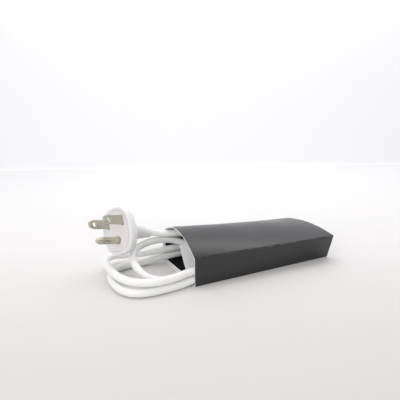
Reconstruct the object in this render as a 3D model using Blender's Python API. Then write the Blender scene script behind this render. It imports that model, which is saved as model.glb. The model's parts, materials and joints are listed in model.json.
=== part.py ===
"""Grounded mains lead, folded into a hank on a card insert and held in a card sleeve.

Blender 4.5, metres, +Z up. The origin is the centre of the sleeve's base, which rests
on z = 0. +X runs along the sleeve, away from the mouth that the plug lies in front of.
Lengths below are in millimetres and are turned into metres where a mesh is made.
"""

from math import cos, pi, radians, sin, sqrt, tan

import bmesh
import bpy
from mathutils import Matrix, Vector

MM = 0.001
GAP = 0.3  # clearance between pieces that meet

# Sleeve: a card tube, arched at the mouth and pressed flatter and askew at its far end.
SLEEVE_LENGTH = 105.0
SLEEVE_DEPTH = 52.0
WALL_HEIGHT = 18.2
CARD = 0.6
MOUTH_RISE = 9.8
BACK_LIFT = 3.0
END_RISE = 3.0
END_LEAN = radians(17.0)
ROOF_STEPS = 16
SLEEVE_SECTIONS = 15

# Card insert: back strip, floor strip and the curled divider between the two bundles.
INSERT_CARD = 0.5
INSERT_FROM = 1.6
INSERT_TO = 38.0
INSERT_BACK_HEIGHT = 15.2

# Cord
CORD_DIAMETER = 4.8
CORD_SIDES = 2  # bevel resolution: eight sides
CORD_STEP = 6.0

# Plug, in its own frame: +X out along the pins, +Z away from the earth pin, and the
# origin on the face, midway between the blades.
PLUG_AT = (-35.2, 44.4, 34.8)
PLUG_HEADING = radians(209.06)
PLUG_PITCH = radians(15.07)
PLUG_ROLL = radians(23.3)
FACE_CENTRE_Z = -5.7
BLADE_SPACING = 12.7
BLADE_THICKNESS = 1.5
BLADE_WIDTH = 6.35
BLADE_LENGTH = 16.0
BLADE_TAIL = 5.2
BLADE_HOLE_AT = 11.9
BLADE_HOLE_RADIUS = 1.6
EARTH_DROP = 11.89
EARTH_RADIUS = 2.4
EARTH_LENGTH = 18.6
PIN_CLEARANCE = 0.12
CARRIER_DEPTH = 4.0
# depth behind the face, half width, half height
PLUG_RINGS = (
    (0.0, 11.5, 14.9), (0.9, 12.2, 15.6), (4.2, 12.2, 15.5), (6.4, 11.5, 14.4),
    (8.1, 10.2, 12.2), (9.6, 8.9, 10.0), (11.2, 7.2, 7.5), (12.6, 6.3, 6.3),
)
CAVITY_RINGS = (
    (-1.0, 10.2, 13.4), (4.6, 10.2, 13.4), (6.6, 9.7, 12.3), (8.3, 9.1, 11.1), (9.7, 7.4, 8.3),
    (11.3, 3.0, 3.0),
)
CARRIER_HALF = (9.9, 13.1)
BOOT_REACH = 16.5
CRIMP_LENGTH = 2.7
CRIMP_RADIUS = 1.7
CRIMP_BORE = 1.25
WIRE_RADIUS = 0.85
CORE_OFFSET = 1.17  # of each core from the cord's axis

# Far-end connector, in its own frame: +X towards its mouth, the origin where its boot meets it.
CONNECTOR_AT = (30.2, 34.2, 7.8)
CONNECTOR_HEADING = 0.0
CONNECTOR_LENGTH = 18.0
CONNECTOR_BOOT_REACH = 9.5
CONNECTOR_RINGS = (
    (0.0, 4.5, 4.1), (0.7, 5.2, 4.9), (6.0, 6.3, 5.6), (9.5, 7.7, 6.0), (17.4, 8.0, 6.0), (18.0, 7.6, 5.6),
)
SOCKET_RING = 2.5  # distance of the contacts from the connector's axis
SOCKET_RADIUS = 1.35

PEBBLE_GREY = (0.80, 0.79, 0.78)
WHITE = (0.86, 0.86, 0.85)


# ---------------------------------------------------------------- helpers
def clear_scene():
    for thing in list(bpy.data.objects):
        bpy.data.objects.remove(thing, do_unlink=True)


def material(name, colour, roughness, metallic=0.0):
    made = bpy.data.materials.new(name)
    made.use_nodes = True
    shader = made.node_tree.nodes["Principled BSDF"]
    shader.inputs["Base Color"].default_value = (*colour, 1.0)
    shader.inputs["Roughness"].default_value = roughness
    shader.inputs["Metallic"].default_value = metallic
    return made


def place(thing, made_of, frame=None):
    bpy.context.scene.collection.objects.link(thing)
    if made_of:
        thing.data.materials.append(made_of)
    if frame:
        thing.matrix_world = frame
    return thing


def mesh_object(name, corners, faces, made_of, frame=None, smooth=True):
    """A mesh from corners in millimetres, its faces turned outwards."""
    shape = bmesh.new()
    points = [shape.verts.new(Vector(c) * MM) for c in corners]
    for face in faces:
        shape.faces.new([points[i] for i in face])
    bmesh.ops.recalc_face_normals(shape, faces=shape.faces)
    data = bpy.data.meshes.new(name)
    shape.to_mesh(data)
    shape.free()
    if smooth:
        data.shade_smooth()
        data.set_sharp_from_angle(angle=radians(35))
    return place(bpy.data.objects.new(name, data), made_of, frame)


def loft(name, rings, made_of, frame=None, smooth=True):
    """A solid through rings of equally many corners, closed by a flat cap at each end."""
    count = len(rings[0])
    faces = [tuple(range(count)), tuple(range((len(rings) - 1) * count, len(rings) * count))]
    for step in range(len(rings) - 1):
        for i in range(count):
            a, b = step * count + i, step * count + (i + 1) % count
            faces.append((a, b, b + count, a + count))
    corners = [corner for ring in rings for corner in ring]
    return mesh_object(name, corners, faces, made_of, frame, smooth)


def hollow_loft(name, outer, inner, made_of, frame=None):
    """A tube between two lofts, open at both ends: its end faces join outer ring to inner ring."""
    count, steps = len(outer[0]), len(outer)
    inside = steps * count
    corners = [corner for ring in (*outer, *inner) for corner in ring]
    faces = []
    for i in range(count):
        j = (i + 1) % count
        for step in range(steps - 1):
            a, b = step * count + i, step * count + j
            faces.append((a, b, b + count, a + count))
            faces.append((inside + b, inside + a, inside + a + count, inside + b + count))
        last = (steps - 1) * count
        faces.append((i, inside + i, inside + j, j))
        faces.append((last + i, last + j, inside + last + j, inside + last + i))
    return mesh_object(name, corners, faces, made_of, frame)


def cut(target, cutter):
    cutter.hide_render = True
    cutter.display_type = "WIRE"
    boolean = target.modifiers.new("cut_" + cutter.name, "BOOLEAN")
    boolean.operation = "DIFFERENCE"
    boolean.solver = "EXACT"
    boolean.object = cutter


def rounded_ring(depth, half_width, half_height, centre_z=0.0, power=2.6, count=32, sign=-1.0):
    """A superellipse across X, at a depth behind the origin."""
    ring = []
    for i in range(count):
        angle = 2 * pi * i / count
        c, s = cos(angle), sin(angle)
        y = half_width * abs(c) ** (2 / power) * (1 if c >= 0 else -1)
        z = half_height * abs(s) ** (2 / power) * (1 if s >= 0 else -1)
        ring.append((sign * depth, y, centre_z + z))
    return ring


def circle_ring(x, radius, y=0.0, z=0.0, count=16):
    return [
        (x, y + radius * cos(2 * pi * i / count), z + radius * sin(2 * pi * i / count))
        for i in range(count)
    ]


def smooth_path(points, spacing, start=None, end=None, fine=0):
    """Points along a smooth curve through the given ones, about spacing apart.

    The curve is a centripetal Catmull-Rom spline. start and end are directions at its ends,
    and its first spans, as many as fine says, have points a third as far apart.
    """
    knots = [Vector(p) for p in points]
    reach_in = (knots[1] - knots[0]).length
    reach_out = (knots[-1] - knots[-2]).length
    before = knots[0] - Vector(start).normalized() * reach_in if start else 2 * knots[0] - knots[1]
    after = knots[-1] + Vector(end).normalized() * reach_out if end else 2 * knots[-1] - knots[-2]
    chain = [before, *knots, after]
    path = [knots[0]]
    for span, (a, b, c, d) in enumerate(zip(chain, chain[1:], chain[2:], chain[3:])):
        t0 = 0.0
        t1 = t0 + sqrt((b - a).length)
        t2 = t1 + sqrt((c - b).length)
        t3 = t2 + sqrt((d - c).length)
        steps = max(1, round((c - b).length / (spacing / 3 if span < fine else spacing)))
        for step in range(1, steps + 1):
            t = t1 + (t2 - t1) * step / steps
            ab = a * ((t1 - t) / (t1 - t0)) + b * ((t - t0) / (t1 - t0))
            bc = b * ((t2 - t) / (t2 - t1)) + c * ((t - t1) / (t2 - t1))
            cd = c * ((t3 - t) / (t3 - t2)) + d * ((t - t2) / (t3 - t2))
            abc = ab * ((t2 - t) / (t2 - t0)) + bc * ((t - t0) / (t2 - t0))
            bcd = bc * ((t3 - t) / (t3 - t1)) + cd * ((t - t1) / (t3 - t1))
            path.append(abc * ((t2 - t) / (t2 - t1)) + bcd * ((t - t1) / (t2 - t1)))
    return path


def tube(name, path, radius, made_of, frame=None, sides=CORD_SIDES):
    """A round tube along a path in millimetres, as a curve with filled caps."""
    data = bpy.data.curves.new(name, "CURVE")
    data.dimensions = "3D"
    data.bevel_depth = radius * MM
    data.bevel_resolution = sides
    data.use_fill_caps = True
    spline = data.splines.new("POLY")
    spline.points.add(len(path) - 1)
    for point, at in zip(spline.points, path):
        point.co = (*(Vector(at) * MM), 1.0)
    return place(bpy.data.objects.new(name, data), made_of, frame)


def swept_rings(path, radii, count, start=None):
    """Circles across a path, turned along it without twist. start is the direction at its first."""
    rings = []
    side = Vector((0, 0, 1))
    for i, at in enumerate(path):
        ahead = (path[min(i + 1, len(path) - 1)] - path[max(i - 1, 0)]).normalized()
        if start and i == 0:
            ahead = start
        side = (side - ahead * side.dot(ahead)).normalized()
        across = ahead.cross(side)
        rings.append([
            at + radii[i] * (cos(2 * pi * k / count) * side + sin(2 * pi * k / count) * across)
            for k in range(count)
        ])
    return rings


def frame_at(position, heading, pitch=0.0, roll=0.0):
    return (
        Matrix.Translation(Vector(position) * MM)
        @ Matrix.Rotation(heading, 4, "Z")
        @ Matrix.Rotation(-pitch, 4, "Y")
        @ Matrix.Rotation(roll, 4, "X")
    )


# ---------------------------------------------------------------- frame of the route
MOUTH = Vector((-SLEEVE_LENGTH / 2, -SLEEVE_DEPTH / 2, 0))


def from_mouth(x, y, z):
    """A place given from the sleeve's near lower corner at its mouth."""
    return MOUTH + Vector((x, y, z))


PLUG = frame_at(from_mouth(*PLUG_AT), PLUG_HEADING, PLUG_PITCH, PLUG_ROLL)
CONNECTOR = frame_at(from_mouth(*CONNECTOR_AT), CONNECTOR_HEADING)


def in_millimetres(frame, point):
    """A point of a piece's own frame, in the object's frame."""
    return (frame @ (Vector(point) * MM)) / MM


# ---------------------------------------------------------------- the cord's route
# Out of the plug, over the bundle and into the sleeve's mouth, then round the far end.
PLUG_LEAD = [
    (-13.5, 50.0, 23.2), (-6.5, 47.6, 22.4), (0, 44.0, 21.8), (10, 41.5, 21.6), (25, 40, 19.5),
    (45, 38.5, 17.6),
    (62, 38.5, 16), (74, 36.5, 15), (83, 30.5, 14), (87, 21.5, 13.3), (84, 12, 12.6), (76, 5.8, 11.6),
    (64, 3.9, 10.6), (45, 3.7, 9.8), (22, 3.7, 9.6),
]
# The widest loop outside the mouth, which the plug lies on, and its turn in the sleeve.
OUTER_LOOP = [
    (6, 3.6, 9.4), (-4, 3.0, 8.8), (-13, 1.7, 8.2), (-24, 1.8, 7.9), (-33, 5.5, 7.9), (-39, 12.5, 7.9),
    (-42, 22, 7.9), (-43, 33, 8), (-42, 46, 8.2), (-38.5, 55.5, 7.0), (-32.5, 61.0, 5.8), (-24, 60, 5.4),
    (-16, 54.5, 6.6), (-8.5, 49.6, 8.2), (-1.5, 47.5, 9.1), (5, 46.8, 9.4), (12, 46.7, 9.4),
    (28, 46.7, 9.4), (48, 46.7, 9.4), (66, 46, 9.2),
    (80, 41.5, 8.6), (89, 32, 7.6), (91, 20, 6.4), (86.5, 9.5, 5.2), (76, 4.3, 4.5), (60, 3.6, 4.2),
    (38, 3.6, 4.2),
]
# The loop that lies on the table.
LOWER_LOOP = [
    (15, 3.6, 4.2), (2, 3.4, 3.7), (-8, 2.2, 2.7), (-20, 1.2, 2.6), (-30, 1.6, 2.6), (-37, 4.5, 2.6),
    (-41.5, 10.5, 2.6), (-43.5, 19, 2.6), (-43.5, 30, 2.6), (-40.5, 40, 2.6), (-34, 46, 2.6),
    (-25, 47.8, 2.6),
    (-14, 47.6, 2.7), (-3, 47.4, 3.8), (8, 47.2, 4.3), (30, 47.2, 4.2), (50, 46.8, 4.2), (64, 44.8, 4.2),
    (75, 38.8, 4.2), (80.5, 29, 4.2), (77.5, 18, 4.2), (68, 10.9, 4.2), (54, 9.2, 4.2), (30, 9.2, 4.2),
]
# The smallest loop, which climbs to the mouth's back corner and goes down to the connector.
INNER_LOOP = [
    (8, 9.2, 4.2), (0, 9.2, 3.9), (-10, 9.5, 3.6), (-19, 11.5, 4.2), (-25.5, 16.5, 6), (-28.3, 24, 9.2),
    (-28, 32, 11.2), (-25.5, 39.5, 13.0), (-20, 44.6, 15.3), (-12, 47.2, 16.5), (-4, 47.2, 16.9),
    (4, 45.4, 16.2),
    (11, 42, 13.8), (17, 38, 11), (22, 35.3, 9.2), (26, 34.3, 8.1),
]


def cord_route():
    """The whole centreline, from the plug's back to the connector's."""
    start = in_millimetres(PLUG, (-PLUG_RINGS[-1][0] - 0.4, 0, FACE_CENTRE_Z))
    start_way = PLUG.to_3x3() @ Vector((-1, 0, 0))
    end = in_millimetres(CONNECTOR, (-0.4, 0, 0))
    end_way = CONNECTOR.to_3x3() @ Vector((1, 0, 0))
    middle = [from_mouth(*p) for p in PLUG_LEAD + OUTER_LOOP + LOWER_LOOP + INNER_LOOP]
    return smooth_path([start, *middle, end], CORD_STEP, start_way, end_way, fine=3)


def make_cord(jacket):
    """Four stretches, joined end to end inside the sleeve."""
    path = cord_route()
    joints = [from_mouth(*stretch[0]) for stretch in (OUTER_LOOP, LOWER_LOOP, INNER_LOOP)]
    at = [min(range(len(path)), key=lambda i, j=joint: (path[i] - j).length) for joint in joints]
    stretches = zip((0, *at), (*at, len(path) - 1))
    names = ("cord_plug_lead", "cord_outer_loop", "cord_lower_loop", "cord_inner_loop")
    for name, (first, last) in zip(names, stretches):
        piece = path[first:last + 1]
        if first:
            piece[0] = piece[0] + (piece[1] - piece[0]).normalized() * GAP
        tube(name, piece, CORD_DIAMETER / 2, jacket)
    return path


def boot_path(path, reach):
    """The stretch of the cord that a strain relief of this length covers."""
    return [p for p in path[:16] if (p - path[0]).length <= reach]


# ---------------------------------------------------------------- sleeve and insert
def sleeve_outline(along, inset):
    """The sleeve's section at a share of its length, drawn in by inset."""
    lean = END_LEAN * along
    rise = MOUTH_RISE + (END_RISE - MOUTH_RISE) * along
    lift = BACK_LIFT * (1 - along)
    push, top = -sin(lean) * WALL_HEIGHT, cos(lean) * WALL_HEIGHT
    outline = [(inset, inset), (SLEEVE_DEPTH - inset, inset)]
    for i in range(ROOF_STEPS + 1):
        across = 1 - i / ROOF_STEPS
        y = inset + (SLEEVE_DEPTH - 2 * inset) * across + push
        outline.append((y, top + lift * across + rise * 4 * across * (1 - across) - inset))
    return outline


def make_sleeve(card):
    outer, inner = [], []
    for step in range(SLEEVE_SECTIONS):
        along = step / (SLEEVE_SECTIONS - 1)
        x = SLEEVE_LENGTH * along
        outer.append([from_mouth(x, y, z) for y, z in sleeve_outline(along, 0.0)])
        inner.append([from_mouth(x, y, z) for y, z in sleeve_outline(along, CARD)])
    hollow_loft("card_sleeve", outer, inner, card)


def make_insert(card):
    """A strip folded up at the back and curled over at the front into the divider."""
    floor = CARD + GAP + INSERT_CARD / 2
    back = SLEEVE_DEPTH - CARD - GAP - INSERT_CARD / 2
    spine = [
        (back, INSERT_BACK_HEIGHT), (back, floor + 1.2), (back - 0.4, floor + 0.4), (back - 1.2, floor),
        (17.0, floor), (15.4, floor + 0.4), (14.8, floor + 1.3), (15.3, floor + 2.5), (17.1, 5.6),
        (19.2, 8.2),
        (21.2, 11.2), (23.2, 14.6), (26.0, 18.6),
    ]
    points = [Vector(p) for p in spine]
    left, right = [], []
    for i, at in enumerate(points):
        ahead = (points[min(i + 1, len(points) - 1)] - points[max(i - 1, 0)]).normalized()
        across = Vector((-ahead.y, ahead.x)) * (INSERT_CARD / 2)
        left.append(at + across)
        right.append(at - across)
    outline = left + right[::-1]
    rings = []
    for x in (INSERT_FROM, INSERT_TO):
        slope = tan(END_LEAN * x / SLEEVE_LENGTH)
        rings.append([from_mouth(x, p.x - p.y * slope, p.y) for p in outline])
    count = len(outline)
    half = len(left)
    corners = rings[0] + rings[1]
    faces = []
    for i in range(count):
        j = (i + 1) % count
        faces.append((i, j, j + count, i + count))
    for i in range(half - 1):
        strip = (i, i + 1, count - 2 - i, count - 1 - i)
        faces.append(strip)
        faces.append(tuple(k + count for k in strip))
    mesh_object("card_insert", corners, faces, card)


# ---------------------------------------------------------------- plug
def make_blade(name, y, metal):
    half, tip = BLADE_WIDTH / 2, 1.6
    outline = [
        (-BLADE_TAIL, -half), (BLADE_LENGTH - tip, -half), (BLADE_LENGTH, -half + 1.5),
        (BLADE_LENGTH, half - 1.5), (BLADE_LENGTH - tip, half), (-BLADE_TAIL, half),
    ]
    rings = [
        [(x, y + side * BLADE_THICKNESS / 2, z) for x, z in outline] for side in (-1, 1)
    ]
    blade = loft(name, rings, metal, PLUG, smooth=False)
    hole = loft(
        name + "_hole",
        [
            [
                (BLADE_HOLE_AT + BLADE_HOLE_RADIUS * cos(2 * pi * i / 16), y + side * 2,
                 BLADE_HOLE_RADIUS * sin(2 * pi * i / 16))
                for i in range(16)
            ]
            for side in (-1, 1)
        ],
        None, PLUG,
    )
    cut(blade, hole)


def make_earth_pin(metal):
    rings = [circle_ring(-BLADE_TAIL, EARTH_RADIUS, z=-EARTH_DROP)]
    for i in range(6):
        angle = pi / 2 * i / 5.6
        x = EARTH_LENGTH - EARTH_RADIUS + EARTH_RADIUS * sin(angle)
        rings.append(circle_ring(x, EARTH_RADIUS * cos(angle), z=-EARTH_DROP))
    loft("earth_pin", rings, metal, PLUG)


def make_plug_body(white):
    rings = [rounded_ring(*ring, centre_z=FACE_CENTRE_Z) for ring in PLUG_RINGS]
    body = loft("plug_body", rings, white, PLUG)
    pocket = [rounded_ring(*ring, centre_z=FACE_CENTRE_Z) for ring in CAVITY_RINGS]
    cut(body, loft("plug_pocket", pocket, None, PLUG))
    bore = [circle_ring(x, 2.9, z=FACE_CENTRE_Z) for x in (-14.0, -10.8)]
    cut(body, loft("plug_cord_bore", bore, None, PLUG))


def make_carrier(grey):
    """The moulded block that holds the three pins; its front is the plug's face."""
    rings = [
        rounded_ring(depth, *CARRIER_HALF, centre_z=FACE_CENTRE_Z) for depth in (0.0, CARRIER_DEPTH)
    ]
    carrier = loft("pin_carrier", rings, grey, PLUG)
    half, thick = BLADE_WIDTH / 2 + PIN_CLEARANCE, BLADE_THICKNESS / 2 + PIN_CLEARANCE
    for name, y in (("line", -BLADE_SPACING / 2), ("neutral", BLADE_SPACING / 2)):
        slot = [
            [(x, y - thick, -half), (x, y + thick, -half), (x, y + thick, half), (x, y - thick, half)]
            for x in (-CARRIER_DEPTH - 1, 1)
        ]
        cut(carrier, loft(name + "_slot", slot, None, PLUG, smooth=False))
    socket = [
        circle_ring(x, EARTH_RADIUS + PIN_CLEARANCE, z=-EARTH_DROP) for x in (-CARRIER_DEPTH - 1, 1)
    ]
    cut(carrier, loft("earth_slot", socket, None, PLUG))


def crimp_and_wire(name, y, z, turn, metal, cover):
    """A crimp barrel behind a pin, and the insulated core from it into the cord."""
    start = -BLADE_TAIL - 0.2
    steps = (start, start - CRIMP_LENGTH)
    hollow_loft(
        name + "_crimp",
        [circle_ring(x, CRIMP_RADIUS, y, z, 12) for x in steps],
        [circle_ring(x, CRIMP_BORE, y, z, 12) for x in steps],
        metal, PLUG,
    )
    bundle_y, bundle_z = CORE_OFFSET * cos(turn), FACE_CENTRE_Z + CORE_OFFSET * sin(turn)
    path = [
        Vector((start - 0.4, y, z)), Vector((start - CRIMP_LENGTH, y, z)),
        Vector((-8.7, y * 0.90 + bundle_y * 0.10, z * 0.90 + bundle_z * 0.10)),
        Vector((-9.7, y * 0.45 + bundle_y * 0.55, z * 0.45 + bundle_z * 0.55)),
        Vector((-10.9, bundle_y, bundle_z)), Vector((-12.1, bundle_y, bundle_z)),
    ]
    tube(name + "_core", smooth_path(path, 1.0), WIRE_RADIUS, cover, PLUG)


def make_boot(name, path, radii, white, start):
    """A tapering sleeve round the cord."""
    bore = [CORD_DIAMETER / 2 + GAP] * len(path)
    hollow_loft(name, swept_rings(path, radii, 20, start), swept_rings(path, bore, 20, start), white)


def boot_radii(count, thick, thin):
    """A taper from its thick end to its thin one."""
    return [thin + (thick - thin) * (1 - i / (count - 1)) ** 0.9 for i in range(count)]


# ---------------------------------------------------------------- connector
def socket_places():
    """The three contacts, spread evenly round the connector's axis."""
    for name, turn in (("line", radians(210)), ("neutral", radians(330)), ("earth", radians(90))):
        yield name, SOCKET_RING * cos(turn), SOCKET_RING * sin(turn), turn


def make_connector(white, dark, metal, covers):
    rings = [rounded_ring(*ring, power=3.4, count=28, sign=1.0) for ring in CONNECTOR_RINGS]
    body = loft("connector_body", rings, white, CONNECTOR)
    hollow = [
        rounded_ring(*ring, power=3.0, count=28, sign=1.0)
        for ring in ((4.0, 3.4, 3.2), (8.0, 5.6, 4.6), (10.0, 6.1, 4.8), (20.0, 6.1, 4.8))
    ]
    cut(body, loft("connector_hollow", hollow, None, CONNECTOR))
    bore = [circle_ring(x, 2.6) for x in (-1.0, 5.0)]
    cut(body, loft("connector_bore", bore, None, CONNECTOR))
    block = [
        rounded_ring(depth, 5.8, 4.5, power=3.0, count=28, sign=1.0) for depth in (10.2, CONNECTOR_LENGTH)
    ]
    insert = loft("connector_insert", block, dark, CONNECTOR)
    for name, y, z, turn in socket_places():
        socket = [circle_ring(x, SOCKET_RADIUS + PIN_CLEARANCE, y, z) for x in (9.0, 20.0)]
        cut(insert, loft(name + "_socket_bore", socket, None, CONNECTOR))
        steps = (9.4, 17.2)
        hollow_loft(
            name + "_contact",
            [circle_ring(x, SOCKET_RADIUS, y, z, 12) for x in steps],
            [circle_ring(x, SOCKET_RADIUS - 0.4, y, z, 12) for x in steps],
            metal, CONNECTOR,
        )
        pull = CORE_OFFSET / SOCKET_RING
        core = [
            Vector((0.2, y * pull, z * pull)), Vector((3.6, y * pull, z * pull)),
            Vector((6.6, y * 0.85, z * 0.85)), Vector((9.1, y, z)),
        ]
        tube(name + "_connector_core", smooth_path(core, 2.0), WIRE_RADIUS, covers[name], CONNECTOR)


def main():
    clear_scene()
    black_card = material("black_card", (0.045, 0.045, 0.048), 0.55)
    white = material("white_moulding", WHITE, 0.38)
    face = material("plug_face", PEBBLE_GREY, 0.45)
    jacket = material("cord_jacket", WHITE, 0.42)
    nickel = material("nickel_plate", (0.62, 0.60, 0.53), 0.30, 1.0)
    brass = material("brass", (0.72, 0.55, 0.25), 0.35, 1.0)
    dark = material("dark_moulding", (0.10, 0.10, 0.10), 0.5)
    covers = {
        "line": material("black_core", (0.03, 0.03, 0.03), 0.5),
        "neutral": material("white_core", (0.8, 0.8, 0.8), 0.5),
        "earth": material("green_core", (0.03, 0.30, 0.10), 0.5),
    }

    make_sleeve(black_card)
    make_insert(black_card)

    make_plug_body(white)
    make_carrier(face)
    make_blade("line_blade", -BLADE_SPACING / 2, nickel)
    make_blade("neutral_blade", BLADE_SPACING / 2, nickel)
    make_earth_pin(nickel)
    crimp_and_wire("line", -BLADE_SPACING / 2, 0.0, radians(150), brass, covers["line"])
    crimp_and_wire("neutral", BLADE_SPACING / 2, 0.0, radians(30), brass, covers["neutral"])
    crimp_and_wire("earth", 0.0, -EARTH_DROP, radians(270), brass, covers["earth"])

    path = make_cord(jacket)
    boot = boot_path(path, BOOT_REACH)
    way = PLUG.to_3x3() @ Vector((-1, 0, 0))
    make_boot("plug_strain_relief", boot, boot_radii(len(boot), 6.2, 3.2), white, way)
    boot = boot_path(path[::-1], CONNECTOR_BOOT_REACH)
    make_boot("connector_strain_relief", boot, boot_radii(len(boot), 4.2, 3.1), white, Vector((-1, 0, 0)))
    make_connector(white, dark, brass, covers)


main()
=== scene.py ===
"""Looks for the folded mains cord in its card sleeve: finer pieces, materials, light and camera.

Metres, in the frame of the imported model. Lengths are written in millimetres and turned
into metres where a mesh is made.
"""

import json
from math import cos, exp, pi, radians, sin, sqrt, tan

import bmesh
import bpy
from mathutils import Matrix, Vector, noise

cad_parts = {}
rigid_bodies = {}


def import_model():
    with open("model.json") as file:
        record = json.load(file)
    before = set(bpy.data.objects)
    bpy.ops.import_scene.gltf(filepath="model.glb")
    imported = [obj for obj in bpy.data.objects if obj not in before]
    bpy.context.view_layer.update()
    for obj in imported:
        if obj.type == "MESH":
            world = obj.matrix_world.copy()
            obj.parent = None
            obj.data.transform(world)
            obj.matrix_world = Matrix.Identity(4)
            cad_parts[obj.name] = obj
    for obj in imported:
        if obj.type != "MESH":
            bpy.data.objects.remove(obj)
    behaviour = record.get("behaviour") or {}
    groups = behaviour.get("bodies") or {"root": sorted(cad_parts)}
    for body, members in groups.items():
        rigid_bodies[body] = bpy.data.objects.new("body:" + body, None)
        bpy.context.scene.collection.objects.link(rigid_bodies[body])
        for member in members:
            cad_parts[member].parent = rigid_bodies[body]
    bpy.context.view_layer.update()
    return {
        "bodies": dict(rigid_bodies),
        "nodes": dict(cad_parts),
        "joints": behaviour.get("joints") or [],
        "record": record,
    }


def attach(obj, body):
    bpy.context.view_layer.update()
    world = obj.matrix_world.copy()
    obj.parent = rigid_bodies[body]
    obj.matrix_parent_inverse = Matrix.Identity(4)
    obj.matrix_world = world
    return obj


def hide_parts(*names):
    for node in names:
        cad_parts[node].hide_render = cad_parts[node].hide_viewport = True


MM = 0.001

# Sleeve and insert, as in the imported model
SLEEVE_LENGTH = 105.0
SLEEVE_DEPTH = 52.0
WALL_HEIGHT = 18.2
CARD = 0.6
GAP = 0.3  # clearance between pieces that meet
MOUTH_RISE = 9.8
BACK_LIFT = 3.0
END_RISE = 3.0
END_LEAN = radians(17.0)
CORNER_RADIUS = 0.7
SECTIONS = 90
ROOF_STEPS = 40
INSERT_CARD = 0.5
INSERT_FROM = 1.6
INSERT_TO = 38.0
INSERT_BACK_HEIGHT = 15.2

# Plug, in its own frame: +X out along the pins, +Z away from the earth pin
PLUG_AT = (-35.2, 44.4, 34.8)
PLUG_HEADING = radians(209.06)
PLUG_PITCH = radians(15.07)
PLUG_ROLL = radians(23.3)
FACE_CENTRE_Z = -5.7
BLADE_SPACING = 12.7
BLADE_THICKNESS = 1.5
BLADE_WIDTH = 5.9
BLADE_LENGTH = 16.0
BLADE_TIP = 5.0
BLADE_EDGE = 0.22
BLADE_HOLE_AT = 11.9
BLADE_HOLE_RADIUS = 1.6
PIN_TAIL = 5.1
EARTH_DROP = 11.89
EARTH_RADIUS = 2.26
EARTH_SHANK = 14.2
EARTH_TIP = 4.3
PLUG_BACK = 12.6
CORD_DIAMETER = 4.8
CORD_SPACING = 1.6
BOOT_REACH = 16.2
CONNECTOR_AT = (30.2, 34.2, 7.8)

# Camera: fitted to the pins' standard sizes and the sleeve's corners
CAMERA_AT = (-154.7, -238.4, 111.0)
CAMERA_PITCH = radians(13.5)
CAMERA_ROLL = radians(-0.9)
CAMERA_YAW = radians(26.59)
CAMERA_LENS = 37.8
BACKDROP_DISTANCE = 0.66

MOUTH = Vector((-SLEEVE_LENGTH / 2, -SLEEVE_DEPTH / 2, 0))


def from_mouth(x, y, z):
    return MOUTH + Vector((x, y, z))


def frame_at(position, heading, pitch=0.0, roll=0.0):
    return (
        Matrix.Translation(Vector(position) * MM)
        @ Matrix.Rotation(heading, 4, "Z")
        @ Matrix.Rotation(-pitch, 4, "Y")
        @ Matrix.Rotation(roll, 4, "X")
    )


PLUG = frame_at(from_mouth(*PLUG_AT), PLUG_HEADING, PLUG_PITCH, PLUG_ROLL)
PLUG_LEAD = [
    (-13.5, 50.0, 23.2), (-6.5, 47.6, 22.4), (0, 44.0, 21.8), (10, 41.5, 21.6), (25, 40, 19.5),
    (45, 38.5, 17.6),
    (62, 38.5, 16), (74, 36.5, 15), (83, 30.5, 14), (87, 21.5, 13.3), (84, 12, 12.6), (76, 5.8, 11.6),
    (64, 3.9, 10.6), (45, 3.7, 9.8), (22, 3.7, 9.6),
]
OUTER_LOOP = [
    (6, 3.6, 9.4), (-4, 3.0, 8.8), (-13, 1.7, 8.2), (-24, 1.8, 7.9), (-33, 5.5, 7.9), (-39, 12.5, 7.9),
    (-42, 22, 7.9), (-43, 33, 8), (-42, 46, 8.2), (-38.5, 55.5, 7.0), (-32.5, 61.0, 5.8), (-24, 60, 5.4),
    (-16, 54.5, 6.6), (-8.5, 49.6, 8.2), (-1.5, 47.5, 9.1), (5, 46.8, 9.4), (12, 46.7, 9.4), (28, 46.7, 9.4),
    (48, 46.7, 9.4), (66, 46, 9.2),
    (80, 41.5, 8.6), (89, 32, 7.6), (91, 20, 6.4), (86.5, 9.5, 5.2), (76, 4.3, 4.5), (60, 3.6, 4.2),
    (38, 3.6, 4.2),
]
LOWER_LOOP = [
    (15, 3.6, 4.2), (2, 3.4, 3.7), (-8, 2.2, 2.7), (-20, 1.2, 2.6), (-30, 1.6, 2.6), (-37, 4.5, 2.6),
    (-41.5, 10.5, 2.6), (-43.5, 19, 2.6), (-43.5, 30, 2.6), (-40.5, 40, 2.6), (-34, 46, 2.6),
    (-25, 47.8, 2.6),
    (-14, 47.6, 2.7), (-3, 47.4, 3.8), (8, 47.2, 4.3), (30, 47.2, 4.2), (50, 46.8, 4.2), (64, 44.8, 4.2),
    (75, 38.8, 4.2), (80.5, 29, 4.2), (77.5, 18, 4.2), (68, 10.9, 4.2), (54, 9.2, 4.2), (30, 9.2, 4.2),
]
INNER_LOOP = [
    (8, 9.2, 4.2), (0, 9.2, 3.9), (-10, 9.5, 3.6), (-19, 11.5, 4.2), (-25.5, 16.5, 6), (-28.3, 24, 9.2),
    (-28, 32, 11.2), (-25.5, 39.5, 13.0), (-20, 44.6, 15.3), (-12, 47.2, 16.5), (-4, 47.2, 16.9),
    (4, 45.4, 16.2),
    (11, 42, 13.8), (17, 38, 11), (22, 35.3, 9.2), (26, 34.3, 8.1),
]


# ---------------------------------------------------------------- materials
def principled(name, colour, roughness, **inputs):
    made = bpy.data.materials.new(name)
    made.use_nodes = True
    shader = made.node_tree.nodes["Principled BSDF"]
    shader.inputs["Base Color"].default_value = (*colour, 1.0)
    shader.inputs["Roughness"].default_value = roughness
    for key, value in inputs.items():
        shader.inputs[key.replace("_", " ")].default_value = value
    return made


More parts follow.
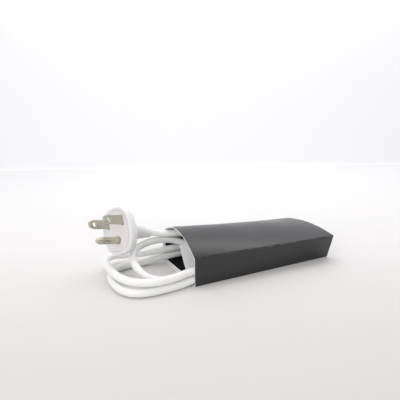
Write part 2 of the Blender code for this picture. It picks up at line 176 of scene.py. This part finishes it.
def noise_node(made, scale, detail=3.0, stretch=None):
    """A noise texture in object space, optionally stretched."""
    nodes, links = made.node_tree.nodes, made.node_tree.links
    place = nodes.new("ShaderNodeTexCoord")
    texture = nodes.new("ShaderNodeTexNoise")
    texture.inputs["Scale"].default_value = scale
    texture.inputs["Detail"].default_value = detail
    if stretch:
        mapping = nodes.new("ShaderNodeMapping")
        mapping.inputs["Scale"].default_value = stretch
        links.new(place.outputs["Object"], mapping.inputs["Vector"])
        links.new(mapping.outputs["Vector"], texture.inputs["Vector"])
    else:
        links.new(place.outputs["Object"], texture.inputs["Vector"])
    return texture


def add_bump(made, texture, strength, distance):
    nodes, links = made.node_tree.nodes, made.node_tree.links
    bump = nodes.new("ShaderNodeBump")
    bump.inputs["Strength"].default_value = strength
    bump.inputs["Distance"].default_value = distance
    shader = nodes["Principled BSDF"]
    if shader.inputs["Normal"].links:
        links.new(shader.inputs["Normal"].links[0].from_socket, bump.inputs["Normal"])
    links.new(texture.outputs["Fac"], bump.inputs["Height"])
    links.new(bump.outputs["Normal"], shader.inputs["Normal"])


def vary(made, texture, socket, low, high, start=0.35, end=0.65):
    """A shader input that follows a noise texture between two values or colours."""
    nodes, links = made.node_tree.nodes, made.node_tree.links
    shader = nodes["Principled BSDF"]
    ramp = nodes.new("ShaderNodeValToRGB")
    for stop, position, value in zip(ramp.color_ramp.elements, (start, end), (low, high)):
        stop.position = position
        stop.color = (*value, 1.0) if hasattr(value, "__len__") else (value, value, value, 1.0)
    links.new(texture.outputs["Fac"], ramp.inputs["Fac"])
    links.new(ramp.outputs["Color"], shader.inputs[socket])


def make_materials():
    card = principled("black_print", (0.0125, 0.0118, 0.0135), 0.31, IOR=1.58)
    add_bump(card, noise_node(card, 900.0, 4.0, (1.0, 0.35, 1.0)), 0.10, 0.0001)
    add_bump(card, noise_node(card, 28.0, 2.0), 0.20, 0.0012)
    vary(card, noise_node(card, 45.0, 5.0), "Roughness", 0.28, 0.35)
    inside = principled("black_inside", (0.010, 0.010, 0.0105), 0.7, Specular_IOR_Level=0.1)
    add_bump(inside, noise_node(inside, 700.0, 4.0), 0.08, 0.0001)
    inner = principled("card_white", (0.88, 0.88, 0.89), 0.75)
    add_bump(inner, noise_node(inner, 700.0, 4.0), 0.12, 0.0001)
    edge = principled("card_edge", (0.74, 0.73, 0.72), 0.8)
    vary(edge, noise_node(edge, 260.0, 4.0), "Base Color", (0.82, 0.81, 0.81), (0.92, 0.92, 0.91))
    # Crease colour: lighter than the card on the folds, partly wear and partly a painted highlight along the
    # creases.
    worn_and_sheen = principled("crease_wear_and_sheen", (0.05, 0.05, 0.052), 0.5)
    dim_wear_and_sheen, bright_wear_and_sheen = (0.018, 0.018, 0.019), (0.085, 0.083, 0.087)
    vary(worn_and_sheen, noise_node(worn_and_sheen, 190.0, 6.0), "Base Color", dim_wear_and_sheen, bright_wear_and_sheen, 0.40, 0.64)
    soft = {"Subsurface_Weight": 0.12, "Subsurface_Scale": 0.002}
    body = principled("white_moulding", (0.89, 0.89, 0.885), 0.36, **soft)
    add_bump(body, noise_node(body, 1400.0, 2.0), 0.04, 0.0001)
    less_soft = {"Subsurface_Weight": 0.08, "Subsurface_Scale": 0.002}
    face = principled("plug_face_grey", (0.80, 0.775, 0.79), 0.46, **less_soft)
    add_bump(face, noise_node(face, 1200.0, 2.0), 0.06, 0.0001)
    jacket = principled("cord_white", (0.90, 0.905, 0.895), 0.40, **soft)
    add_bump(jacket, noise_node(jacket, 160.0, 2.0), 0.05, 0.0004)
    pin = principled("nickel_pin", (0.57, 0.54, 0.455), 0.30, Metallic=1.0)
    add_bump(pin, noise_node(pin, 420.0, 3.0, (0.25, 1.0, 1.0)), 0.10, 0.0001)
    vary(pin, noise_node(pin, 120.0, 4.0), "Roughness", 0.24, 0.40)
    brass = principled("bare_brass", (0.72, 0.52, 0.22), 0.32, Metallic=1.0)
    dark = principled("dark_moulding", (0.09, 0.09, 0.09), 0.5)
    cores = {
        "line": principled("line_cover", (0.03, 0.03, 0.03), 0.45),
        "neutral": principled("neutral_cover", (0.8, 0.8, 0.8), 0.45),
        "earth": principled("earth_cover", (0.03, 0.30, 0.10), 0.45),
    }
    return {
        "card": card, "inside": inside, "inner": inner, "edge": edge, "worn_and_sheen": worn_and_sheen, "body": body,
        "face": face, "jacket": jacket, "pin": pin, "brass": brass, "dark": dark, "cores": cores,
    }


# ---------------------------------------------------------------- shapes
def mesh_piece(name, corners, faces, materials, indices=None, frame=None, sharp=35):
    """A mesh from corners in millimetres; indices are the faces' materials."""
    shape = bmesh.new()
    points = [shape.verts.new(Vector(c) * MM) for c in corners]
    for n, face in enumerate(faces):
        made = shape.faces.new([points[i] for i in face])
        made.material_index = indices[n] if indices else 0
    bmesh.ops.recalc_face_normals(shape, faces=shape.faces)
    data = bpy.data.meshes.new(name)
    shape.to_mesh(data)
    shape.free()
    if frame:
        data.transform(frame)
    data.shade_smooth()
    data.set_sharp_from_angle(angle=radians(sharp))
    for one in materials:
        data.materials.append(one)
    piece = bpy.data.objects.new(name, data)
    bpy.context.scene.collection.objects.link(piece)
    return piece


def loft_faces(count, steps):
    faces = [tuple(range(count)), tuple(range((steps - 1) * count, steps * count))]
    for step in range(steps - 1):
        for i in range(count):
            a, b = step * count + i, step * count + (i + 1) % count
            faces.append((a, b, b + count, a + count))
    return faces


def loft(name, rings, materials, frame=None):
    """A solid through rings of equally many corners, closed by a flat face at each end."""
    corners = [c for ring in rings for c in ring]
    return mesh_piece(name, corners, loft_faces(len(rings[0]), len(rings)), materials, frame=frame)


def tube_loft(name, outer, inner, materials, indices=(0, 0, 0), worn_and_sheen=()):
    """A shell between two lofts; indices are the materials outside, inside and at the ends.

    The last argument holds the ring's corners whose outer faces take the fourth material: the crease colour,
    lighter than the card, part wear and part painted highlight.
    """
    count, steps = len(outer[0]), len(outer)
    inside = steps * count
    corners = [c for ring in (*outer, *inner) for c in ring]
    faces, kinds = [], []
    for i in range(count):
        j = (i + 1) % count
        for step in range(steps - 1):
            a, b = step * count + i, step * count + j
            faces.append((a, b, b + count, a + count))
            faces.append((inside + b, inside + a, inside + a + count, inside + b + count))
            kinds += [3 if i in worn_and_sheen else indices[0], indices[1]]
        last = (steps - 1) * count
        faces.append((i, inside + i, inside + j, j))
        faces.append((last + i, last + j, inside + last + j, inside + last + i))
        kinds += [indices[2], indices[2]]
    return mesh_piece(name, corners, faces, materials, kinds)


def superellipse(depth, half_width, half_height, power=2.6, count=96):
    """A rounded outline across the plug's axis, at a depth behind its face."""
    ring = []
    for i in range(count):
        angle = 2 * pi * i / count
        c, s = cos(angle), sin(angle)
        y = half_width * abs(c) ** (2 / power) * (1 if c >= 0 else -1)
        z = half_height * abs(s) ** (2 / power) * (1 if s >= 0 else -1)
        ring.append((-depth, y, FACE_CENTRE_Z + z))
    return ring


def circle(x, radius, z=0.0, count=48):
    angles = [2 * pi * i / count for i in range(count)]
    return [(x, radius * cos(angle), z + radius * sin(angle)) for angle in angles]


def smooth_path(points, spacing, start=None, end=None):
    """Points along a centripetal Catmull-Rom spline; start and end are directions at its ends."""
    knots = [Vector(p) for p in points]
    reach_in = (knots[1] - knots[0]).length
    reach_out = (knots[-1] - knots[-2]).length
    before = knots[0] - Vector(start).normalized() * reach_in if start else 2 * knots[0] - knots[1]
    after = knots[-1] + Vector(end).normalized() * reach_out if end else 2 * knots[-1] - knots[-2]
    chain = [before, *knots, after]
    path = [knots[0]]
    for a, b, c, d in zip(chain, chain[1:], chain[2:], chain[3:]):
        t0 = 0.0
        t1 = t0 + sqrt((b - a).length)
        t2 = t1 + sqrt((c - b).length)
        t3 = t2 + sqrt((d - c).length)
        steps = max(1, round((c - b).length / spacing))
        for step in range(1, steps + 1):
            t = t1 + (t2 - t1) * step / steps
            ab = a * ((t1 - t) / (t1 - t0)) + b * ((t - t0) / (t1 - t0))
            bc = b * ((t2 - t) / (t2 - t1)) + c * ((t - t1) / (t2 - t1))
            cd = c * ((t3 - t) / (t3 - t2)) + d * ((t - t2) / (t3 - t2))
            abc = ab * ((t2 - t) / (t2 - t0)) + bc * ((t - t0) / (t2 - t0))
            bcd = bc * ((t3 - t) / (t3 - t1)) + cd * ((t - t1) / (t3 - t1))
            path.append(abc * ((t2 - t) / (t2 - t1)) + bcd * ((t - t1) / (t2 - t1)))
    return path


def swept_rings(path, radii, count, start):
    """Circles across a path without twist; start is the direction at its first point."""
    rings = []
    side = Vector((0, 0, 1))
    for i, at in enumerate(path):
        ahead = (path[min(i + 1, len(path) - 1)] - path[max(i - 1, 0)]).normalized()
        if i == 0:
            ahead = start
        side = (side - ahead * side.dot(ahead)).normalized()
        across = ahead.cross(side)
        rings.append([
            at + radii[i] * (cos(2 * pi * k / count) * side + sin(2 * pi * k / count) * across)
            for k in range(count)
        ])
    return rings


# ---------------------------------------------------------------- cord
def cord_path(spacing):
    start = (PLUG @ (Vector((-PLUG_BACK - 0.4, 0, FACE_CENTRE_Z)) * MM)) / MM
    way = PLUG.to_3x3() @ Vector((-1, 0, 0))
    end = from_mouth(*CONNECTOR_AT) + Vector((-0.4, 0, 0))
    middle = [from_mouth(*p) for p in PLUG_LEAD + OUTER_LOOP + LOWER_LOOP + INNER_LOOP]
    return smooth_path([start, *middle, end], spacing, way, Vector((1, 0, 0)))


def make_cord(looks):
    path = cord_path(CORD_SPACING)
    data = bpy.data.curves.new("mains_cord", "CURVE")
    data.dimensions = "3D"
    data.bevel_depth = CORD_DIAMETER / 2 * MM
    data.bevel_resolution = 6
    data.use_fill_caps = True
    spline = data.splines.new("POLY")
    spline.points.add(len(path) - 1)
    for point, at in zip(spline.points, path):
        point.co = (*(at * MM), 1.0)
    spline.use_smooth = True
    data.materials.append(looks["jacket"])
    cord = bpy.data.objects.new("mains_cord", data)
    bpy.context.scene.collection.objects.link(cord)
    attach(cord, "bundle")
    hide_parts("cord_plug_lead", "cord_outer_loop", "cord_lower_loop", "cord_inner_loop")
    return path


# ---------------------------------------------------------------- sleeve
def rounded(points, radius, steps=4):
    """A closed outline with each marked corner cut by an arc."""
    out = []
    count = len(points)
    for i, (point, is_corner) in enumerate(points):
        if not is_corner:
            out.append((point, False))
            continue
        before, after = points[i - 1][0], points[(i + 1) % count][0]
        a = point + (before - point).normalized() * min(radius, (before - point).length * 0.45)
        b = point + (after - point).normalized() * min(radius, (after - point).length * 0.45)
        for k in range(steps + 1):
            t = k / steps
            out.append((a * (1 - t) ** 2 + point * (2 * t * (1 - t)) + b * t**2, 0 < k < steps))
    return out


def sleeve_section(along):
    """The sleeve's outline at a share of its length, and where its creases are."""
    lean = END_LEAN * along
    rise = MOUTH_RISE + (END_RISE - MOUTH_RISE) * along
    lift = BACK_LIFT * (1 - along)
    push, top = -sin(lean) * WALL_HEIGHT, cos(lean) * WALL_HEIGHT
    points = [(Vector((0.0, 0.0)), True)]
    for i in range(1, 10):
        points.append((Vector((SLEEVE_DEPTH * i / 10, 0.0)), False))
    points.append((Vector((SLEEVE_DEPTH, 0.0)), True))
    for i in range(1, 6):
        points.append((Vector((SLEEVE_DEPTH + push * i / 6, (top + lift) * i / 6)), False))
    for i in range(ROOF_STEPS + 1):
        across = 1 - i / ROOF_STEPS
        height = top + lift * across + rise * 4 * across * (1 - across)
        points.append((Vector((SLEEVE_DEPTH * across + push, height)), i in (0, ROOF_STEPS)))
    for i in range(5, 0, -1):
        points.append((Vector((push * i / 6, top * i / 6)), False))
    return rounded(points, CORNER_RADIUS)


def dent(x, y, z):
    """How far the card is pushed in at a place, in millimetres."""
    wave = noise.noise(Vector((x * 0.028, y * 0.04, z * 0.05))) * 0.26
    soft = noise.noise(Vector((x * 0.09 + 7, y * 0.11, z * 0.12))) * 0.07
    pressed = 0.16 * exp(-((x - 52) ** 2 + 1.5 * (y - 14) ** 2) / 150)
    return max(0.0, wave + soft + 0.10) + pressed


def make_sleeve(looks):
    outer, inner, creases = [], [], []
    for step in range(SECTIONS):
        along = step / (SECTIONS - 1)
        x = SLEEVE_LENGTH * along
        section = sleeve_section(along)
        points = [p for p, _ in section]
        creases = [c for _, c in section]
        count = len(points)
        ring_out, ring_in = [], []
        for i, p in enumerate(points):
            run = (points[(i + 1) % count] - points[i - 1]).normalized()
            inward = Vector((-run.y, run.x))
            push = dent(x, p.x, p.y) if p.y > 0.8 else 0.0
            at_out = p + inward * push
            at_in = p + inward * (push + CARD)
            ring_out.append(from_mouth(x, at_out.x, at_out.y))
            ring_in.append(from_mouth(x, at_in.x, at_in.y))
        outer.append(ring_out)
        inner.append(ring_in)
    materials = [looks["card"], looks["inner"], looks["edge"], looks["worn_and_sheen"]]
    # the crease corners get the lighter crease colour, partly wear and partly painted highlight
    worn_and_sheen = {i for i, crease in enumerate(creases) if crease}
    sleeve = tube_loft("sleeve_skin", outer, inner, materials, (0, 1, 2), worn_and_sheen=worn_and_sheen)
    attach(sleeve, "sleeve")
    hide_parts("card_sleeve")


# ---------------------------------------------------------------- insert
def make_insert(looks):
    floor = CARD + GAP + INSERT_CARD / 2
    back = SLEEVE_DEPTH - CARD - GAP - INSERT_CARD / 2
    spine = [
        (back, INSERT_BACK_HEIGHT), (back, floor + 1.2), (back - 0.4, floor + 0.4), (back - 1.2, floor),
        (17.0, floor), (15.4, floor + 0.4), (14.8, floor + 1.3), (15.3, floor + 2.5), (17.1, 5.6),
        (19.2, 8.2),
        (21.2, 11.2), (23.2, 14.6), (26.0, 18.6),
    ]
    fine = smooth_path([(0, *p) for p in spine], 0.7)
    points = [Vector((p.y, p.z)) for p in fine]
    left, right = [], []
    for i, at in enumerate(points):
        ahead = (points[min(i + 1, len(points) - 1)] - points[max(i - 1, 0)]).normalized()
        across = Vector((-ahead.y, ahead.x)) * (INSERT_CARD / 2)
        left.append(at + across)
        right.append(at - across)
    outline = left + right[::-1]
    count, half = len(outline), len(left)
    corners = []
    for x in (INSERT_FROM, INSERT_TO):
        slope = tan(END_LEAN * x / SLEEVE_LENGTH)
        corners += [from_mouth(x, p.x - p.y * slope, p.y) for p in outline]
    faces, kinds = [], []
    for i in range(count):
        j = (i + 1) % count
        faces.append((i, j, j + count, i + count))
        kinds.append(1 if i < half - 1 else 2 if i in (half - 1, count - 1) else 0)
    for i in range(half - 1):
        strip = (i, i + 1, count - 2 - i, count - 1 - i)
        faces.append(strip)
        faces.append(tuple(k + count for k in strip))
        kinds += [2, 2]
    materials = [looks["inside"], looks["inner"], looks["edge"]]
    insert = mesh_piece("insert_strip", corners, faces, materials, kinds)
    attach(insert, "bundle")
    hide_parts("card_insert")


# ---------------------------------------------------------------- plug
def make_plug_body(looks):
    rings = [
        (4.2, 9.98, 13.18), (0.3, 9.98, 13.18), (0.05, 10.02, 13.22), (0.0, 10.1, 13.3), (0.0, 11.2, 14.5),
        (0.12, 11.7, 15.05), (0.45, 12.0, 15.4), (1.0, 12.17, 15.57), (2.6, 12.2, 15.6), (4.2, 12.2, 15.5),
        (5.4, 11.95, 15.1), (6.4, 11.5, 14.4), (7.3, 10.9, 13.4), (8.1, 10.2, 12.2), (8.9, 9.5, 11.1),
        (9.6, 8.85, 9.95), (10.4, 8.0, 8.7), (11.2, 7.2, 7.5), (11.9, 6.7, 6.8), (12.5, 6.3, 6.3),
        (12.6, 5.8, 5.8), (12.6, 2.9, 2.9), (11.3, 3.0, 3.0), (9.7, 7.4, 8.3), (8.3, 9.1, 11.1),
        (6.6, 9.7, 12.3),
    ]
    loops = [superellipse(*ring, power=2.6 if ring[1] > 3.0 else 2.0) for ring in rings]
    count = len(loops[0])
    corners = [c for ring in loops for c in ring]
    faces, kinds = [], []
    steps = len(loops)
    for step in range(steps):
        after = (step + 1) % steps
        for i in range(count):
            j = (i + 1) % count
            faces.append((step * count + i, step * count + j, after * count + j, after * count + i))
            kinds.append(1 if 1 <= step <= 4 else 0)
    body = mesh_piece("plug_shell", corners, faces, [looks["body"], looks["face"]], kinds, PLUG, sharp=60)
    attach(body, "bundle")
    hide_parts("plug_body")


def blade_outline():
    """Half of a blade's outline from its tail, mirrored to close it; the tip narrows and is rounded."""
    half, shoulder = BLADE_WIDTH / 2, BLADE_LENGTH - BLADE_TIP
    side = [(-PIN_TAIL, half), (shoulder, half)]
    for k in range(1, 13):
        angle = pi / 2 * k / 12
        narrowed = 1 - 0.62 * (1 - cos(angle)) ** 0.9
        side.append((shoulder + BLADE_TIP * sin(angle), half * narrowed))
    return side + [(x, -y) for x, y in reversed(side)]


def make_blade(name, y, node, looks):
    """A flat blade with a round hole near its tip, as a filled outline with rounded edges."""
    data = bpy.data.curves.new(name, "CURVE")
    data.dimensions = "2D"
    data.fill_mode = "BOTH"
    data.bevel_depth = BLADE_EDGE * MM
    data.bevel_resolution = 2
    data.extrude = (BLADE_THICKNESS / 2 - BLADE_EDGE) * MM
    data.offset = -BLADE_EDGE * MM
    angles = [2 * pi * k / 40 for k in range(40)]
    hole = [(BLADE_HOLE_AT + BLADE_HOLE_RADIUS * cos(a), BLADE_HOLE_RADIUS * sin(a)) for a in angles]
    for outline in (blade_outline(), hole):
        spline = data.splines.new("POLY")
        spline.points.add(len(outline) - 1)
        for point, at in zip(spline.points, outline):
            point.co = (at[0] * MM, at[1] * MM, 0.0, 1.0)
        spline.use_cyclic_u = True
    flat = bpy.data.objects.new(name + "_outline", data)
    bpy.context.scene.collection.objects.link(flat)
    bpy.context.view_layer.update()
    mesh = bpy.data.meshes.new_from_object(flat)
    bpy.data.objects.remove(flat, do_unlink=True)
    mesh.transform(PLUG @ Matrix.Translation((0, y * MM, 0)) @ Matrix.Rotation(pi / 2, 4, "X"))
    mesh.materials.clear()
    mesh.materials.append(looks["pin"])
    mesh.shade_smooth()
    mesh.set_sharp_from_angle(angle=radians(40))
    blade = bpy.data.objects.new(name, mesh)
    bpy.context.scene.collection.objects.link(blade)
    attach(blade, "bundle")
    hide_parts(node)


def make_earth_pin(looks):
    outline = [(-PIN_TAIL, 2.1), (-PIN_TAIL + 0.2, 2.24)]
    outline += [(EARTH_SHANK * k / 6, EARTH_RADIUS) for k in range(7)]
    for k in range(1, 13):
        angle = pi / 2 * k / 12.3  # stops just short of a point
        outline.append((EARTH_SHANK + EARTH_TIP * sin(angle), EARTH_RADIUS * cos(angle)))
    rings = [circle(x, radius, z=-EARTH_DROP) for x, radius in outline]
    pin = loft("earth_pin_round", rings, [looks["pin"]], PLUG)
    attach(pin, "bundle")
    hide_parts("earth_pin")


def make_boot(path, looks):
    """The plug's strain relief: a smooth cone that bends with the cord."""
    covered = [p for p in path[:40] if (p - path[0]).length <= BOOT_REACH]
    radii = []
    for i in range(len(covered)):
        share = i / (len(covered) - 1)
        radii.append(3.0 + 3.15 * (1 - share) ** 0.9)
    radii[-1] = 2.95
    way = PLUG.to_3x3() @ Vector((-1, 0, 0))
    outer = swept_rings(covered, radii, 48, way)
    inner = swept_rings(covered, [CORD_DIAMETER / 2 + 0.12] * len(covered), 48, way)
    boot = tube_loft("plug_boot", outer, inner, [looks["body"]])
    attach(boot, "bundle")
    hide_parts("plug_strain_relief")


def repaint(nodes, looks):
    """Better materials on the CAD pieces whose shapes are right."""
    by_name = {
        "pin_carrier": looks["face"], "connector_body": looks["body"],
        "connector_strain_relief": looks["body"], "connector_insert": looks["dark"],
    }
    for lead in ("line", "neutral", "earth"):
        by_name[lead + "_crimp"] = looks["brass"]
        by_name[lead + "_contact"] = looks["brass"]
        by_name[lead + "_core"] = looks["cores"][lead]
        by_name[lead + "_connector_core"] = looks["cores"][lead]
    for name, look in by_name.items():
        for place in nodes[name].material_slots:
            place.link = "OBJECT"
            place.material = look


# ---------------------------------------------------------------- stage, light, camera
def make_stage():
    """A white table with painted shade that darkens its colour towards the viewer, meeting a white backdrop
    in a small cove.
    """
    table = principled("table_painted_falloff", (0.8, 0.8, 0.8), 0.6)
    backdrop = principled("backdrop_white", (0.89, 0.885, 0.905), 0.9)
    ahead = Vector((sin(CAMERA_YAW), cos(CAMERA_YAW), 0))
    side = Vector((ahead.y, -ahead.x, 0))
    nodes, links = table.node_tree.nodes, table.node_tree.links
    place = nodes.new("ShaderNodeTexCoord")
    along = nodes.new("ShaderNodeVectorMath")
    along.operation = "DOT_PRODUCT"
    along.inputs[1].default_value = ahead
    spread = nodes.new("ShaderNodeMapRange")
    spread.inputs["From Min"].default_value = -0.17
    spread.inputs["From Max"].default_value = 0.30
    # painted shade: the table's base colour darkens towards the viewer, standing in for the light falling
    # off
    painted_falloff = nodes.new("ShaderNodeValToRGB")
    painted_falloff.color_ramp.elements[0].color = (0.66, 0.645, 0.625, 1.0)
    painted_falloff.color_ramp.elements[1].color = (0.80, 0.795, 0.80, 1.0)
    middle = painted_falloff.color_ramp.elements.new(0.42)
    middle.color = (0.775, 0.765, 0.757, 1.0)
    links.new(place.outputs["Object"], along.inputs[0])
    links.new(along.outputs["Value"], spread.inputs["Value"])
    links.new(spread.outputs["Result"], painted_falloff.inputs["Fac"])
    links.new(painted_falloff.outputs["Color"], nodes["Principled BSDF"].inputs["Base Color"])
    eye = Vector(CAMERA_AT) * MM
    eye.z = 0
    far, cove = BACKDROP_DISTANCE, 0.012
    profile = [(-1.4, 0.0), (far - cove, 0.0)]
    bends = [pi / 2 * k / 8 for k in range(1, 9)]
    profile += [(far - cove + cove * sin(bend), cove - cove * cos(bend)) for bend in bends]
    profile += [(far, 0.5), (far, 1.6)]
    corners, faces, kinds = [], [], []
    for forward, height in profile:
        for sideways in (-1.6, 1.6):
            corners.append((eye + ahead * forward + side * sideways + Vector((0, 0, height))) / MM)
    for i in range(len(profile) - 1):
        faces.append((2 * i, 2 * i + 1, 2 * i + 3, 2 * i + 2))
        kinds.append(1 if i > 5 else 0)
    stage = mesh_piece("white_stage", corners, faces, [table, backdrop], kinds)


def area_light(name, at, target, size, watts, colour=(1, 1, 1)):
    data = bpy.data.lights.new(name, "AREA")
    data.shape = "RECTANGLE"
    data.size, data.size_y = size
    data.energy = watts
    data.color = colour
    light = bpy.data.objects.new(name, data)
    light.location = at
    light.rotation_euler = (Vector(target) - Vector(at)).to_track_quat("-Z", "Y").to_euler()
    bpy.context.scene.collection.objects.link(light)


def make_light():
    area_light("top_softbox", (0.08, 0.32, 0.72), (0.02, 0.06, 0), (1.1, 0.8), 2.4)
    area_light("left_fill", (-0.70, -0.45, 0.40), (-0.05, 0, 0.02), (0.6, 0.6), 2.3, (1.0, 0.995, 0.985))
    area_light("backdrop_wash", (0.15, 0.12, 0.55), (0.25, 0.45, 0.10), (0.8, 0.3), 1.3, (0.97, 0.97, 1.0))
    world = bpy.data.worlds.new("soft_room")
    world.use_nodes = True
    world.node_tree.nodes["Background"].inputs["Color"].default_value = (1.0, 0.995, 0.99, 1.0)
    world.node_tree.nodes["Background"].inputs["Strength"].default_value = 0.67
    bpy.context.scene.world = world


def make_camera():
    """Yaw turns it about the upright, pitch tips it down, roll turns it about its line of sight."""
    pitch, roll, yaw = CAMERA_PITCH, CAMERA_ROLL, CAMERA_YAW
    turn = Matrix.Rotation(-yaw, 3, "Z")
    ahead = Vector((0, cos(pitch), -sin(pitch)))
    level = Vector((1, 0, 0))
    up = Vector((0, sin(pitch), cos(pitch)))
    right = turn @ (cos(roll) * level + sin(roll) * up)
    over = turn @ (-sin(roll) * level + cos(roll) * up)
    ahead = turn @ ahead
    data = bpy.data.cameras.new("camera")
    data.lens = CAMERA_LENS
    data.sensor_width = 36.0
    data.clip_start = 0.01
    camera = bpy.data.objects.new("camera", data)
    axes = Matrix((right, over, -ahead)).transposed().to_4x4()
    camera.matrix_world = Matrix.Translation(Vector(CAMERA_AT) * MM) @ axes
    bpy.context.scene.collection.objects.link(camera)
    bpy.context.scene.camera = camera


def main():
    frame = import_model()
    scene = bpy.context.scene
    scene.render.resolution_x = 400
    scene.render.resolution_y = 400
    scene.view_settings.view_transform = "Standard"
    make_camera()
    looks = make_materials()
    path = make_cord(looks)
    make_sleeve(looks)
    make_insert(looks)
    make_plug_body(looks)
    make_blade("line_blade_round", -BLADE_SPACING / 2, "line_blade", looks)
    make_blade("neutral_blade_round", BLADE_SPACING / 2, "neutral_blade", looks)
    make_earth_pin(looks)
    make_boot(path, looks)
    repaint(frame["nodes"], looks)
    make_stage()
    make_light()


main()
